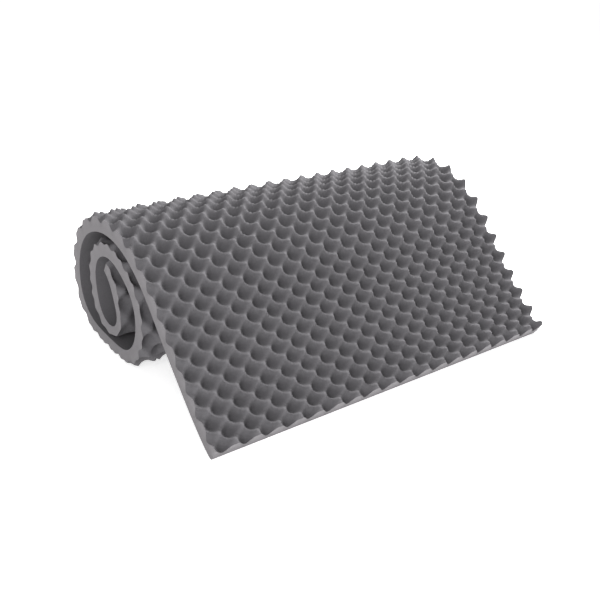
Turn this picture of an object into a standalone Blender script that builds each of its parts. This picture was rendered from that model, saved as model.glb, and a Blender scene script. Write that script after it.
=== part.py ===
"""A convoluted foam mattress pad, loosely rolled with its smooth face inside.

Metres, +Z up. X runs along the roll's axis, and the free end runs out to the floor towards -Y.
The pad stands on z = 0 with the middle of its footprint at the origin.

The pad is one sheet of foam. Its smooth face follows a spine, a chain of stretches that bend
in the YZ plane from the free end to the core, and its bumps stand square to that spine.
"""

import math
from collections import namedtuple

import bmesh
import bpy
import numpy as np

# The sheet as it was cut, lying flat
PAD_WIDTH = 0.991
BUMP_HEIGHT = 0.048  # from the smooth face to the tip of a bump
HOLLOW_HEIGHT = 0.015  # foam left under the bottom of a hollow
RIDGE_SHARPNESS = 0.90  # 1 would fold the foam to a knife's edge between two hollows
BOWL_POWER = 1.3  # above 1 the hollows are round bowls, and 1 would make them cones

# The grid of bumps: hollows and tips take turns along each row and along each column
COLUMN_PITCH = 0.0527  # from one hollow to the next in a row
ROW_STEP = 0.02736  # from one row to the next, half a pitch along
FIRST_HOLLOW = 0.0192  # from the left cut to the first hollow of an even row, at the free end
FIRST_ROW = 0.0081  # from the free end's cut to the first row
COLUMN_SLANT = -0.0034  # columns drift this far to the right for each metre along

# Where the free end's lower edge lies, measured from the middle of the footprint
END_Y = -0.3253
END_Z = -0.003  # the edge would reach this far below the floor, and is pressed flat on it
EDGE_REST = 0.0068  # the strip along the edge that lies flat on the floor
END_HEADING = 23.6

# Each stretch of the spine, from the free end to the core. It ends at a heading in degrees,
# 0 pointing to +Y and turning over the top as it falls, with its tips squeezed by so much.
Stretch = namedtuple("Stretch", "name length heading squeeze")
STRETCHES = (
    Stretch("foot of the slope", 0.040, 36, 0.0),
    Stretch("lower slope", 0.080, 41, 0.0),
    Stretch("slope", 0.210, 45, 0.0),
    Stretch("head of the slope", 0.100, 30, 0.0),
    Stretch("over the front", 0.070, 12, 0.0),
    Stretch("top of the roll", 0.070, -8, 0.003),
    Stretch("over the back", 0.070, -25, 0.003),
    Stretch("upper back", 0.124, -72, 0.0),
    Stretch("back", 0.083, -101, 0.0),
    Stretch("lower back", 0.081, -159, 0.005),
    Stretch("onto the floor", 0.050, -179, 0.010),
    Stretch("on the floor", 0.115, -186, 0.010),
    Stretch("off the floor", 0.087, -243, 0.0),
    Stretch("inner front", 0.078, -283, 0.0),
    Stretch("inner front shoulder", 0.060, -325, 0.0),
    Stretch("under the slope", 0.060, -341, 0.002),
    Stretch("inner top", 0.070, -382, 0.004),
    Stretch("inner back shoulder", 0.092, -455, 0.0),
    Stretch("inner back", 0.058, -471, 0.0),
    Stretch("inner lower back", 0.081, -555, 0.020),
    Stretch("inner floor", 0.070, -660, 0.020),
    Stretch("core", 0.038, -653, 0.0),
    Stretch("core end", 0.055, -696, 0.008),
)

SPINE_STEP = 0.002
SPINE_EASING = 0.020  # bends run into each other over this length

# The solid's points leave out a row or a column of the grid that lies this near a cut
ROW_MARGIN = 0.009
COLUMN_MARGIN = 0.1  # as a share of the pitch
SAME_PLACE = 1e-6

FOAM_COLOUR = (0.125, 0.120, 0.130, 1.0)
FOAM_ROUGHNESS = 0.95


def stretch_ends():
    """Distances along the spine at which the stretches start and end."""
    return np.cumsum([0.0] + [stretch.length for stretch in STRETCHES])


def spine():
    """Samples along the smooth face: distance from the free end, y, z and heading in radians."""
    ends = stretch_ends()
    along = np.arange(0.0, ends[-1] + SPINE_STEP / 2, SPINE_STEP)
    heading = np.interp(along, ends, [END_HEADING] + [s.heading for s in STRETCHES])
    reach = int(SPINE_EASING / SPINE_STEP)
    window = np.ones(2 * reach + 1) / (2 * reach + 1)
    heading = np.radians(np.convolve(np.pad(heading, reach, mode="edge"), window, "valid"))
    middle = (heading[1:] + heading[:-1]) / 2
    y = END_Y + np.concatenate([[0.0], np.cumsum(np.cos(middle) * SPINE_STEP)])
    z = END_Z + np.concatenate([[0.0], np.cumsum(np.sin(middle) * SPINE_STEP)])
    return along, y, z, heading


def tip_height(along):
    """How high the tips stand above the smooth face at a distance along the spine."""
    squeezes = [0.0] + [stretch.squeeze for stretch in STRETCHES]
    return BUMP_HEIGHT - np.interp(along, stretch_ends(), squeezes)


def column_of(across, along):
    """Place in the grid across the pad: whole numbers are the hollows of an even row."""
    return (across - FIRST_HOLLOW - COLUMN_SLANT * along) / COLUMN_PITCH


def across_of(column, along):
    """The distance from the left cut at which a place in the grid lies."""
    return FIRST_HOLLOW + COLUMN_SLANT * along + column * COLUMN_PITCH


def climb(place):
    """From 0 at a whole number up to 1 half way to the next, where it turns back almost sharply."""
    lowest = math.acos(RIDGE_SHARPNESS)
    return (np.arccos(RIDGE_SHARPNESS * np.cos(2 * np.pi * place)) - lowest) / (math.pi - 2 * lowest)


def surface_height(across, along):
    """Height of the bumpy face above the smooth one: round bowls with ridges between them."""
    column = column_of(across, along)
    half_row = (along - FIRST_ROW) / ROW_STEP / 2
    reach = np.sqrt((climb(column + half_row) ** 2 + climb(column - half_row) ** 2) / 2)
    return HOLLOW_HEIGHT + (tip_height(along) - HOLLOW_HEIGHT) * reach ** BOWL_POWER


def row_places():
    """Distances along the pad of its rows, with its two cut ends and the edge's resting strip."""
    length = stretch_ends()[-1]
    inside = np.arange(FIRST_ROW, length - ROW_MARGIN, ROW_STEP)
    return np.concatenate([[0.0, EDGE_REST], inside[inside > EDGE_REST + ROW_MARGIN], [length]])


def column_places():
    """Grid places of the half pitches that stay inside both cuts all along the pad."""
    cut_ends = np.array([0.0, stretch_ends()[-1]])
    first = np.ceil(2 * (column_of(0.0, cut_ends).max() + COLUMN_MARGIN)) / 2
    last = np.floor(2 * (column_of(PAD_WIDTH, cut_ends).min() - COLUMN_MARGIN)) / 2
    return np.arange(first, last + 0.25, 0.5)


def lies_on(edge, across):
    """Whether both ends of an edge are on the cut at that distance across."""
    return all(abs(vert.co.x - across) < SAME_PLACE for vert in edge.verts)


def make_flat_sheet():
    """The sheet unbent: x across, y along, z up from the smooth face, closed all round."""
    rows = row_places()
    columns = column_places()
    sheet = bmesh.new()
    bmesh.ops.create_grid(sheet, x_segments=len(columns) + 1, y_segments=len(rows) - 1, size=0.5)
    for vert in sheet.verts:
        column = round((vert.co.x + 0.5) * (len(columns) + 1))
        along = rows[round((vert.co.y + 0.5) * (len(rows) - 1))]
        vert.co.y = along
        if column == 0:
            vert.co.x = 0.0
        elif column == len(columns) + 1:
            vert.co.x = PAD_WIDTH
        else:
            vert.co.x = across_of(columns[column - 1], along)
    bmesh.ops.poke(sheet, faces=sheet.faces[:])
    for vert in sheet.verts:
        vert.co.z = surface_height(vert.co.x, vert.co.y)

    lower_edges = []
    for side in (0.0, PAD_WIDTH):
        cut = [e for e in sheet.edges if e.is_boundary and lies_on(e, side)]
        made = bmesh.ops.extrude_edge_only(sheet, edges=cut)["geom"]
        for vert in [g for g in made if isinstance(g, bmesh.types.BMVert)]:
            vert.co.z = 0.0
        lower_edges += [g for g in made if isinstance(g, bmesh.types.BMEdge) and g.is_boundary
                        and g.verts[0].co.z == g.verts[1].co.z == 0.0]
    bmesh.ops.bridge_loops(sheet, edges=lower_edges)
    bmesh.ops.holes_fill(sheet, edges=[e for e in sheet.edges if e.is_boundary])
    bmesh.ops.recalc_face_normals(sheet, faces=sheet.faces[:])
    return sheet


def bend(sheet):
    """Rolls the flat sheet up along the spine and rests it on the floor."""
    along, y, z, heading = spine()
    for vert in sheet.verts:
        turn = np.interp(vert.co.y, along, heading)
        place_y = np.interp(vert.co.y, along, y) - np.sin(turn) * vert.co.z
        place_z = np.interp(vert.co.y, along, z) + np.cos(turn) * vert.co.z
        vert.co = (vert.co.x - PAD_WIDTH / 2, place_y, max(place_z, 0.0))


def foam_material():
    material = bpy.data.materials.new("grey_foam")
    material.use_nodes = True
    shader = material.node_tree.nodes["Principled BSDF"]
    shader.inputs["Base Color"].default_value = FOAM_COLOUR
    shader.inputs["Roughness"].default_value = FOAM_ROUGHNESS
    shader.inputs["Metallic"].default_value = 0.0
    return material


def build_pad():
    sheet = make_flat_sheet()
    bend(sheet)
    mesh = bpy.data.meshes.new("foam_pad")
    sheet.to_mesh(mesh)
    sheet.free()
    mesh.materials.append(foam_material())
    pad = bpy.data.objects.new("foam_pad", mesh)
    bpy.context.scene.collection.objects.link(pad)
    return pad


for old in list(bpy.data.objects):
    bpy.data.objects.remove(old)
build_pad()
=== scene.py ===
# %% [markdown]
# A rolled egg-crate mattress pad
#
# The object is one sheet of soft grey foam. A machine squeezes a plain slab between studded
# rollers and slices it, and the slice springs back into two sheets that are smooth on one face
# and full of bumps and hollows on the other. This one is rolled up with its smooth face inside,
# and its free end runs off the top of the roll down to the floor.
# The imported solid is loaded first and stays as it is. The finer sheet below is worked out from
# the same sizes, so it lies where the solid lies.

import math
from collections import namedtuple

import bmesh
import bpy
import numpy as np
from mathutils import Euler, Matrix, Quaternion, Vector


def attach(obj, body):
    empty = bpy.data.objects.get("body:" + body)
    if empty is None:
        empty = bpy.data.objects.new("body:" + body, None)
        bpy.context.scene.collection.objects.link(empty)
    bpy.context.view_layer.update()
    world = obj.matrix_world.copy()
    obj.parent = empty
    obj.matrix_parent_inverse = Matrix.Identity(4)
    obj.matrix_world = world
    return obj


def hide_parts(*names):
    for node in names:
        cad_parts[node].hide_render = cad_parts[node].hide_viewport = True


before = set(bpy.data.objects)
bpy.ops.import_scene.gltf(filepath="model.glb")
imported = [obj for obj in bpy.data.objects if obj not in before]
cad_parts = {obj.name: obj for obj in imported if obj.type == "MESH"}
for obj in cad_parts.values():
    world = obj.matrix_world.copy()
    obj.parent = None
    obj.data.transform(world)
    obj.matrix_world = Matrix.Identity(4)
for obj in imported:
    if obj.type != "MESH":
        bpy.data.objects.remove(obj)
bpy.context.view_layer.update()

# %% [markdown]
# The sheet lying flat
#
# The bumps sit on a grid: hollows and tips take turns along each row and along each column, like
# the squares of a chessboard. All the sizes of the flat sheet stand here, in metres. The two cuts
# at its sides were made without looking at the bumps, so they fall in different places on them.

# %% Sizes of the flat sheet
PAD_WIDTH = 0.991
BUMP_HEIGHT = 0.048  # from the smooth face to the tip of a bump
HOLLOW_HEIGHT = 0.015  # foam left under the bottom of a hollow
RIDGE_SHARPNESS = 0.90  # 1 would fold the foam to a knife's edge between two hollows
BOWL_POWER = 1.3  # above 1 the hollows are round bowls, and 1 would make them cones
COLUMN_PITCH = 0.0527  # from one hollow to the next in a row
ROW_STEP = 0.02736  # from one row to the next, half of the pitch along the pad
FIRST_HOLLOW = 0.0192  # from the left cut to the first hollow of an even row
FIRST_ROW = 0.0081  # from the free end's cut to the first row
COLUMN_SLANT = -0.0034  # how far the columns drift across for each metre along

# %% [markdown]
# The rolled form
#
# Seen from its end, the roll is a spiral that was laid down by hand: a slope that rises from the
# floor, a round top, a flattened bottom, and a core that leans. A true spiral formula would look
# like a machine's. A chain of stretches is closer to the real thing: each one says how long it
# is, which way the foam points where it ends, in degrees, and how far its tips are squeezed
# there. The foam gives on the floor and between turns, and a little over the top of the roll.

# %% The stretches of the spiral
Stretch = namedtuple("Stretch", "name length heading squeeze")
STRETCHES = (
    Stretch("foot of the slope", 0.040, 36, 0.0),
    Stretch("lower slope", 0.080, 41, 0.0),
    Stretch("slope", 0.210, 45, 0.0),
    Stretch("head of the slope", 0.100, 30, 0.0),
    Stretch("over the front", 0.070, 12, 0.0),
    Stretch("top of the roll", 0.070, -8, 0.003),
    Stretch("over the back", 0.070, -25, 0.003),
    Stretch("upper back", 0.124, -72, 0.0),
    Stretch("back", 0.083, -101, 0.0),
    Stretch("lower back", 0.081, -159, 0.005),
    Stretch("onto the floor", 0.050, -179, 0.010),
    Stretch("on the floor", 0.115, -186, 0.010),
    Stretch("off the floor", 0.087, -243, 0.0),
    Stretch("inner front", 0.078, -283, 0.0),
    Stretch("inner front shoulder", 0.060, -325, 0.0),
    Stretch("under the slope", 0.060, -341, 0.002),
    Stretch("inner top", 0.070, -382, 0.004),
    Stretch("inner back shoulder", 0.092, -455, 0.0),
    Stretch("inner back", 0.058, -471, 0.0),
    Stretch("inner lower back", 0.081, -555, 0.020),
    Stretch("inner floor", 0.070, -660, 0.020),
    Stretch("core", 0.038, -653, 0.0),
    Stretch("core end", 0.055, -696, 0.008),
)
END_Y = -0.3253  # the free end's lower edge
END_Z = -0.003  # it would reach this far below the floor, and is pressed flat on it
END_HEADING = 23.6
SPINE_STEP = 0.002
SPINE_EASING = 0.020

stretch_ends = np.cumsum([0.0] + [stretch.length for stretch in STRETCHES])
pad_length = stretch_ends[-1]
print("length of the pad along its smooth face", round(pad_length, 3))

# %% [markdown]
# From headings to places
#
# Adding up short steps, each along its own heading, turns the chain into a curve. The headings
# are averaged over a short window first, so that one bend runs into the next as foam does,
# with no corner between them.


# %% The spine of the roll
def lay_spine():
    along = np.arange(0.0, pad_length + SPINE_STEP / 2, SPINE_STEP)
    heading = np.interp(along, stretch_ends, [END_HEADING] + [s.heading for s in STRETCHES])
    reach = int(SPINE_EASING / SPINE_STEP)
    window = np.ones(2 * reach + 1) / (2 * reach + 1)
    heading = np.radians(np.convolve(np.pad(heading, reach, mode="edge"), window, "valid"))
    middle = (heading[1:] + heading[:-1]) / 2
    y = END_Y + np.concatenate([[0.0], np.cumsum(np.cos(middle) * SPINE_STEP)])
    z = END_Z + np.concatenate([[0.0], np.cumsum(np.sin(middle) * SPINE_STEP)])
    return along, y, z, heading


spine_along, spine_y, spine_z, spine_heading = lay_spine()
print("top of the smooth face", round(spine_z.max(), 3), "back of it", round(spine_y.max(), 3))

# %% [markdown]
# Unevenness that stays the same
#
# Real foam is softer than a formula: no two tips are quite as high, and the rows wander a little.
# A few waves that cross at odd angles give both. Their dice have fixed seeds, so the pad comes
# out the same at every run.

# %% A slow ripple
TIP_UNEVENNESS = 0.035
TIP_WAVELENGTH = 0.09
TIP_SEED = 3
ROW_WANDER = 0.0009
WANDER_WAVELENGTH = 0.11
WANDER_SEED = 5
RIPPLE_WAVES = 7
SHORTEST_WAVE, LONGEST_WAVE = 0.7, 1.5


def ripple(across, along, wavelength, seed):
    """A smooth random field, mostly between -1 and 1."""
    dice = np.random.default_rng(seed)
    total = np.zeros_like(across)
    for _ in range(RIPPLE_WAVES):
        angle = dice.uniform(0, 2 * np.pi)
        size = 2 * np.pi / (wavelength * dice.uniform(SHORTEST_WAVE, LONGEST_WAVE))
        phase = dice.uniform(0, 2 * np.pi)
        total += np.sin(size * (across * np.cos(angle) + along * np.sin(angle)) + phase)
    return total / math.sqrt(RIPPLE_WAVES / 2) / 2


# %% [markdown]
# The height of the foam
#
# Each hollow is a round bowl, and two hollows meet in a ridge. Walking off from a hollow, the
# height depends only on how far one has gone towards the next ones, so the ridges run straight
# from tip to tip and dip half way.


# %% The egg-crate surface
def tip_height(along):
    return BUMP_HEIGHT - np.interp(along, stretch_ends, [0.0] + [s.squeeze for s in STRETCHES])


def climb(place):
    """From 0 at a whole number to 1 half way to the next one, where it turns back almost sharply."""
    lowest = math.acos(RIDGE_SHARPNESS)
    return (np.arccos(RIDGE_SHARPNESS * np.cos(2 * np.pi * place)) - lowest) / (math.pi - 2 * lowest)


def hollow_reach(across, along):
    """0 at the bottom of a hollow, 1 at a tip, about 0.7 where a ridge dips."""
    wander = ROW_WANDER * ripple(across, along, WANDER_WAVELENGTH, WANDER_SEED)
    column = (across + wander - FIRST_HOLLOW - COLUMN_SLANT * along) / COLUMN_PITCH
    half_row = (along + wander - FIRST_ROW) / ROW_STEP / 2
    return np.sqrt((climb(column + half_row) ** 2 + climb(column - half_row) ** 2) / 2)


def foam_height(across, along):
    uneven = 1 + TIP_UNEVENNESS * ripple(across, along, TIP_WAVELENGTH, TIP_SEED)
    relief = (tip_height(along) - HOLLOW_HEIGHT) * uneven
    return HOLLOW_HEIGHT + relief * hollow_reach(across, along) ** BOWL_POWER


# %% [markdown]
# The sheet as a mesh
#
# A grid operator makes the bumpy face, ten squares to a bump each way. Its rim is extruded down
# three times for the cut walls, and the two long lower rims are bridged into the smooth face,
# which needs far fewer squares across. Here z is only a share of the thickness, from 0 on the
# smooth face to 1 on the bumps: the real heights come when the sheet is bent.

# %% Build the flat sheet
CELLS_ACROSS = 188
CELLS_ALONG = 340
SMOOTH_CELLS_ACROSS = 12
WALL_LAYERS = 3
SAME_PLACE = 1e-6


def lies_on(edge, across):
    return all(abs(vert.co.x - across) < SAME_PLACE for vert in edge.verts)


def extrude_walls(sheet):
    """Lowers the rim in layers and returns the edges of the last one."""
    rim = [edge for edge in sheet.edges if edge.is_boundary]
    for edge in rim:
        edge.smooth = False
    for _ in range(WALL_LAYERS):
        made = bmesh.ops.extrude_edge_only(sheet, edges=rim)["geom"]
        lowered = [g for g in made if isinstance(g, bmesh.types.BMVert)]
        bmesh.ops.translate(sheet, verts=lowered, vec=(0.0, 0.0, -1.0 / WALL_LAYERS))
        rim = [g for g in made if isinstance(g, bmesh.types.BMEdge) and g.is_boundary]
    for edge in rim:
        edge.smooth = False
    return rim


def bridge_smooth_face(sheet, rim):
    """Joins the two long lower rims, leaving their end edges to the caps."""
    inner = pad_length / CELLS_ALONG / 2
    sides = [edge for edge in rim if any(lies_on(edge, x) for x in (0.0, PAD_WIDTH))
             and all(inner < vert.co.y < pad_length - inner for vert in edge.verts)]
    made = bmesh.ops.bridge_loops(sheet, edges=sides)["edges"]
    crossing = [edge for edge in made if abs(edge.verts[0].co.x - edge.verts[1].co.x) > PAD_WIDTH / 2]
    cuts = SMOOTH_CELLS_ACROSS - 1
    bmesh.ops.subdivide_edges(sheet, edges=crossing, cuts=cuts, use_grid_fill=True)


def build_flat_sheet():
    sheet = bmesh.new()
    bmesh.ops.create_grid(sheet, x_segments=CELLS_ACROSS, y_segments=CELLS_ALONG, size=0.5)
    bmesh.ops.translate(sheet, verts=sheet.verts, vec=(0.5, 0.5, 1.0))
    bmesh.ops.scale(sheet, verts=sheet.verts, vec=(PAD_WIDTH, pad_length, 1.0))
    bridge_smooth_face(sheet, extrude_walls(sheet))
    bmesh.ops.holes_fill(sheet, edges=[edge for edge in sheet.edges if edge.is_boundary])
    bmesh.ops.recalc_face_normals(sheet, faces=sheet.faces[:])
    return sheet


sheet = build_flat_sheet()
open_edges = sum(edge.is_boundary for edge in sheet.edges)
print("flat sheet", len(sheet.verts), "points,", open_edges, "open edges")

# %% [markdown]
# Bending the sheet
#
# Every point keeps its place across the pad, and its place along the pad picks a spot and a
# heading on the spine. The point then stands off square to the spine by its own height. Nothing
# goes below the floor, so the edge of the free end and the tips under the roll are pressed flat.


# %% Bend it along the spiral
def bend(mesh):
    flat = np.empty(len(mesh.vertices) * 3)
    mesh.vertices.foreach_get("co", flat)
    across, along, share = flat.reshape(-1, 3).T
    height = share * foam_height(across, along)
    turn = np.interp(along, spine_along, spine_heading)
    x = across - PAD_WIDTH / 2
    y = np.interp(along, spine_along, spine_y) - np.sin(turn) * height
    z = np.interp(along, spine_along, spine_z) + np.cos(turn) * height
    bent = np.column_stack([x, y, np.maximum(z, 0.0)])
    mesh.vertices.foreach_set("co", bent.ravel())
    mesh.update()
    return across, along, share


pad_mesh = bpy.data.meshes.new("rolled_pad")
sheet.to_mesh(pad_mesh)
sheet.free()
across, along, share = bend(pad_mesh)
pad_mesh.polygons.foreach_set("use_smooth", np.ones(len(pad_mesh.polygons), bool))
print("rolled pad", len(pad_mesh.polygons), "faces")

# %% [markdown]
# What the finish needs to know
#
# Painted shade darkens the hollows, a painted highlight lightens the ridges, and the cut walls are
# painted paler for the light they catch. Two attributes say where a spot was on the flat sheet: the
# rise runs from 0 in a hollow to 1 on a tip, and the cut is 1 on the cut walls. The rise is kept at
# the points. The cut belongs to whole faces, so that it ends at the rim.

# %% Mark the hollows and the cut walls
WALL_FOOT, WALL_MIDDLE, WALL_TOP = 0.01, 0.5, 0.99  # as shares of the thickness
PLAIN_RISE = 0.5  # for the smooth face, which has no bumps

# The rise also carries painted shade into the hollows and a painted highlight onto the ridges.
rise = np.where(share > WALL_MIDDLE, hollow_reach(across, along), PLAIN_RISE)
pad_mesh.attributes.new("rise", "FLOAT", "POINT").data.foreach_set("value", rise)
# The cut marks the walls that are painted paler for the light they catch.
on_wall = (share > WALL_FOOT) & (share < WALL_TOP)
walls = [float(any(on_wall[v] for v in face.vertices)) for face in pad_mesh.polygons]
pad_mesh.attributes.new("cut", "FLOAT", "FACE").data.foreach_set("value", walls)
print("faces on the cut walls", int(sum(walls)))

# %% [markdown]
# The pad in the frame
#
# The finished mesh becomes one object that rides on the pad's only body and takes the place of
# its plain solid.

# %% Put the pad in place
pad = bpy.data.objects.new("rolled_pad", pad_mesh)
bpy.context.scene.collection.objects.link(pad)
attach(pad, "root")
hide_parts("foam_pad")
print("piece", pad.name, "with", len(pad_mesh.vertices), "points")

# %% [markdown]
# Helpers for the finish
#
# A shader is a net of small nodes, and a sum of three terms is already hard to read there. One
# class makes nodes, and another wraps a socket so that plain Python sums add the Math nodes.


# %% A socket that does sums
class Finish:
    """A material with a few short ways to add nodes."""

    def __init__(self, name):
        self.material = bpy.data.materials.new(name)
        self.material.use_nodes = True
        self.tree = self.material.node_tree
        self.shader = self.tree.nodes["Principled BSDF"]

    def node(self, kind, settings=None, **values):
        made = self.tree.nodes.new(kind)
        for name, value in (settings or {}).items():
            setattr(made, name, value)
        for name, value in values.items():
            self.feed(made.inputs[name.replace("_", " ")], value)
        return made

    def feed(self, socket, value):
        if isinstance(value, Term):
            self.tree.links.new(value.socket, socket)
        else:
            socket.default_value = value

    def reading(self, name):
        """The mesh's own numbers of that name."""
        made = self.node("ShaderNodeAttribute", {"attribute_name": name})
        return Term(self, made.outputs["Fac"])

    def noise(self, place, scale, detail):
        made = self.node("ShaderNodeTexNoise", Scale=scale, Detail=detail, Vector=place)
        return Term(self, made.outputs["Fac"])

    def mixed(self, first, second, factor):
        """A blend of two colours: the Mix node has them at inputs 6 and 7 and at output 2."""
        made = self.node("ShaderNodeMix", {"data_type": "RGBA"}, Factor=factor)
        self.feed(made.inputs[6], first)
        self.feed(made.inputs[7], second)
        return Term(self, made.outputs[2])

    def scaled(self, colour, factor):
        made = self.node("ShaderNodeVectorMath", {"operation": "SCALE"}, Vector=colour, Scale=factor)
        return Term(self, made.outputs["Vector"])


class Term:
    """A value in the shader, which adds Math nodes when sums are done on it."""

    def __init__(self, finish, socket):
        self.finish = finish
        self.socket = socket

    def sum(self, operation, a, b):
        made = self.finish.node("ShaderNodeMath", {"operation": operation})
        self.finish.feed(made.inputs[0], a)
        self.finish.feed(made.inputs[1], b)
        return Term(self.finish, made.outputs[0])

    def __add__(self, other):
        return self.sum("ADD", self, other)

    def __mul__(self, other):
        return self.sum("MULTIPLY", self, other)

    def __sub__(self, other):
        return self.sum("SUBTRACT", self, other)

    def __rsub__(self, other):
        return self.sum("SUBTRACT", other, self)

    __radd__ = __add__
    __rmul__ = __mul__


# %% [markdown]
# Grey foam
#
# The foam is matt and nearly one colour. What varies is slight: painted shade darkens the hollows,
# a painted highlight lightens the ridges, the cut walls are painted paler for the light they catch,
# and the dye is a little uneven. Fine open cells roughen the surface through a bump. A noise is 0.5
# on average, so half is taken off to let it darken as much as it lightens.

# %% Foam
FOAM_COLOUR = (0.107, 0.103, 0.110, 1.0)
# painted light: the cut walls are paler for the light they catch
PAINTED_LIT_CUT_COLOUR = (0.178, 0.170, 0.178, 1.0)
FOAM_ROUGHNESS = 0.95
# painted shade darkens the hollows and a painted highlight lightens the ridges
PAINTED_HOLLOW_SHADE = 0.80
PAINTED_RIDGE_HIGHLIGHT = 1.16
MOTTLE_SHADE = 0.16
MOTTLE_SCALE = 14.0
MOTTLE_DETAIL = 3.0
PORE_SHADE = 0.22
PORE_SCALE = 430.0
PORE_DETAIL = 2.0
PORE_DEPTH = 0.0012
PORE_STRENGTH = 0.5

foam = Finish("grey_foam")
place = Term(foam, foam.node("ShaderNodeTexCoord").outputs["Object"])
mottle = foam.noise(place, MOTTLE_SCALE, MOTTLE_DETAIL)
pores = foam.noise(place, PORE_SCALE, PORE_DETAIL)
# Painted shade in the hollows rises to a painted highlight on the ridges; the mottle and pores are
# the foam's own uneven tone.
painted_shade_and_mottle = PAINTED_HOLLOW_SHADE + foam.reading("rise") * (PAINTED_RIDGE_HIGHLIGHT - PAINTED_HOLLOW_SHADE)
painted_shade_and_mottle = painted_shade_and_mottle + (mottle - 0.5) * MOTTLE_SHADE + (pores - 0.5) * PORE_SHADE
# The cut walls are painted paler for the light they catch.
colour = foam.mixed(FOAM_COLOUR, PAINTED_LIT_CUT_COLOUR, foam.reading("cut"))
foam.feed(foam.shader.inputs["Base Color"], foam.scaled(colour, painted_shade_and_mottle))
foam.feed(foam.shader.inputs["Roughness"], FOAM_ROUGHNESS)
bump = foam.node("ShaderNodeBump", Strength=PORE_STRENGTH, Distance=PORE_DEPTH, Height=pores)
foam.feed(foam.shader.inputs["Normal"], Term(foam, bump.outputs["Normal"]))
pad_mesh.materials.append(foam.material)
print("foam finish", len(foam.tree.nodes), "nodes")

# %% [markdown]
# The floor
#
# The floor in the photograph is white. This one glows a little, so that it comes out white
# without stronger lights, which would make the foam paler too.

# %% Pale floor
FLOOR_REACH = 12.0
FLOOR_COLOUR = (0.92, 0.92, 0.92, 1.0)
FLOOR_ROUGHNESS = 0.9
FLOOR_GLOW = 0.6
WHITE = (1.0, 1.0, 1.0, 1.0)

floor_grid = bmesh.new()
bmesh.ops.create_grid(floor_grid, x_segments=1, y_segments=1, size=FLOOR_REACH)
floor_mesh = bpy.data.meshes.new("floor")
floor_grid.to_mesh(floor_mesh)
floor_grid.free()
floor = bpy.data.objects.new("floor", floor_mesh)
bpy.context.scene.collection.objects.link(floor)

paint = Finish("pale_floor")
paint.feed(paint.shader.inputs["Base Color"], FLOOR_COLOUR)
paint.feed(paint.shader.inputs["Roughness"], FLOOR_ROUGHNESS)
paint.feed(paint.shader.inputs["Emission Color"], WHITE)
paint.feed(paint.shader.inputs["Emission Strength"], FLOOR_GLOW)
floor_mesh.materials.append(paint.material)
print("floor", 2 * FLOOR_REACH, "m wide")

# %% [markdown]
# The light
#
# The relief shows only when one side of the bumps is brighter. The strongest softbox stands at
# the far right, a weaker one stands higher up, to reach into the hollows, and the weakest stands
# behind the camera, to light the cut walls on the left. A white world fills the rest.

# %% World and softboxes
WORLD_STRENGTH = 0.45
LIGHT_DISTANCE = 3.0
LIGHT_SIZE = 1.5
LIGHT_AIM = Vector((0.0, 0.0, 0.1))
Softbox = namedtuple("Softbox", "name azimuth elevation power")
LIGHTS = (
    Softbox("key", 25, 40, 150),
    Softbox("top", 0, 60, 50),
    Softbox("fill", 225, 30, 40),
)

world = bpy.data.worlds.new("studio")
world.use_nodes = True
background = world.node_tree.nodes["Background"]
background.inputs["Color"].default_value = WHITE
background.inputs["Strength"].default_value = WORLD_STRENGTH
bpy.context.scene.world = world
bpy.context.scene.view_settings.view_transform = "Standard"


def add_softbox(box):
    """Azimuth runs from +X towards +Y, in degrees."""
    data = bpy.data.lights.new(box.name, "AREA")
    data.size = LIGHT_SIZE
    data.energy = box.power
    turn, rising = math.radians(box.azimuth), math.radians(box.elevation)
    flat_share = math.cos(rising)
    way = Vector((math.cos(turn) * flat_share, math.sin(turn) * flat_share, math.sin(rising)))
    light = bpy.data.objects.new(box.name, data)
    light.location = way * LIGHT_DISTANCE
    light.rotation_euler = (LIGHT_AIM - light.location).to_track_quat("-Z", "Y").to_euler()
    bpy.context.scene.collection.objects.link(light)


for box in LIGHTS:
    add_softbox(box)
print("softboxes", [box.name for box in LIGHTS])

# %% [markdown]
# The camera
#
# The camera was fitted to the grid of bumps and to the outlines of the pad in the photograph. Its
# focal length is given in pixels of a picture 600 wide, and the lens follows from it. A new
# camera looks straight down, so it is rolled first, then raised to its slope, and then turned.

# %% Camera
CAMERA_PLACE = (-1.1405, -1.3638, 1.0159)
CAMERA_AZIMUTH = 38.745
CAMERA_ELEVATION = 28.05
CAMERA_ROLL = 4.766
FOCAL_PIXELS = 792.4
PHOTO_PIXELS = 600
SENSOR = 36.0
LEVEL = 90  # degrees up from straight down

camera_data = bpy.data.cameras.new("camera")
camera_data.sensor_width = SENSOR
camera_data.lens = SENSOR * FOCAL_PIXELS / PHOTO_PIXELS
camera = bpy.data.objects.new("camera", camera_data)
camera.location = CAMERA_PLACE
turns = Euler((math.radians(LEVEL - CAMERA_ELEVATION), 0.0, math.radians(-CAMERA_AZIMUTH)))
roll = Quaternion((0, 0, 1), math.radians(CAMERA_ROLL))
camera.rotation_mode = "QUATERNION"
camera.rotation_quaternion = turns.to_quaternion() @ roll
bpy.context.scene.collection.objects.link(camera)
bpy.context.scene.camera = camera
print("lens", round(camera_data.lens, 2), "mm")
